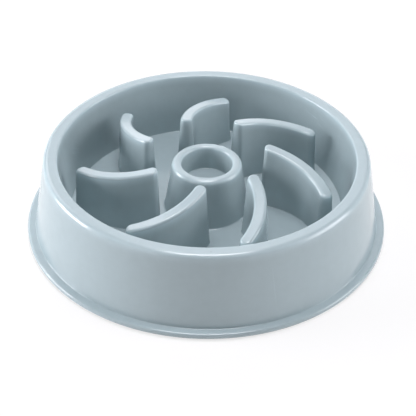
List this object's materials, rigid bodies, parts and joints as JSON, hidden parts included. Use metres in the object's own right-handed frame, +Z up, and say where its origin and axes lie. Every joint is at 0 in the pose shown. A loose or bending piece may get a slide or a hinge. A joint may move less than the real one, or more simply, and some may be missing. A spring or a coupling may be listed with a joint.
{
  "type": "slow feeder bowl",
  "caption": "Round slow feeder bowl for a pet: a basin with curved vanes round a hollow post, in a sloping skirt with a base flange on rubber feet.",
  "frame": {"origin": "on the ground under the bowl's axis, at the bottom centre of the object's box", "axes": "+Z up along the bowl's axis, out of the basin; -Y towards the picture's viewer; +X to the viewer's right"},
  "size_m": [0.2, 0.2, 0.0465],
  "materials": {
    "moulding": "pale grey-blue injection-moulded polypropylene, semi-gloss",
    "feet": "matt mid-grey moulded rubber"
  },
  "bodies": {
    "root": {"base_flange": "moulding", "outer_skirt": "moulding", "rim": "moulding", "basin_wall": "moulding", "basin_floor": "moulding", "centre_post": "moulding", "well_cup": "moulding", "vane_1": "moulding", "vane_2": "moulding", "vane_3": "moulding", "vane_4": "moulding", "vane_5": "moulding", "vane_6": "moulding", "vane_7": "moulding", "foot_1": "feet", "foot_2": "feet", "foot_3": "feet", "foot_4": "feet"}
  },
  "joints": []
}
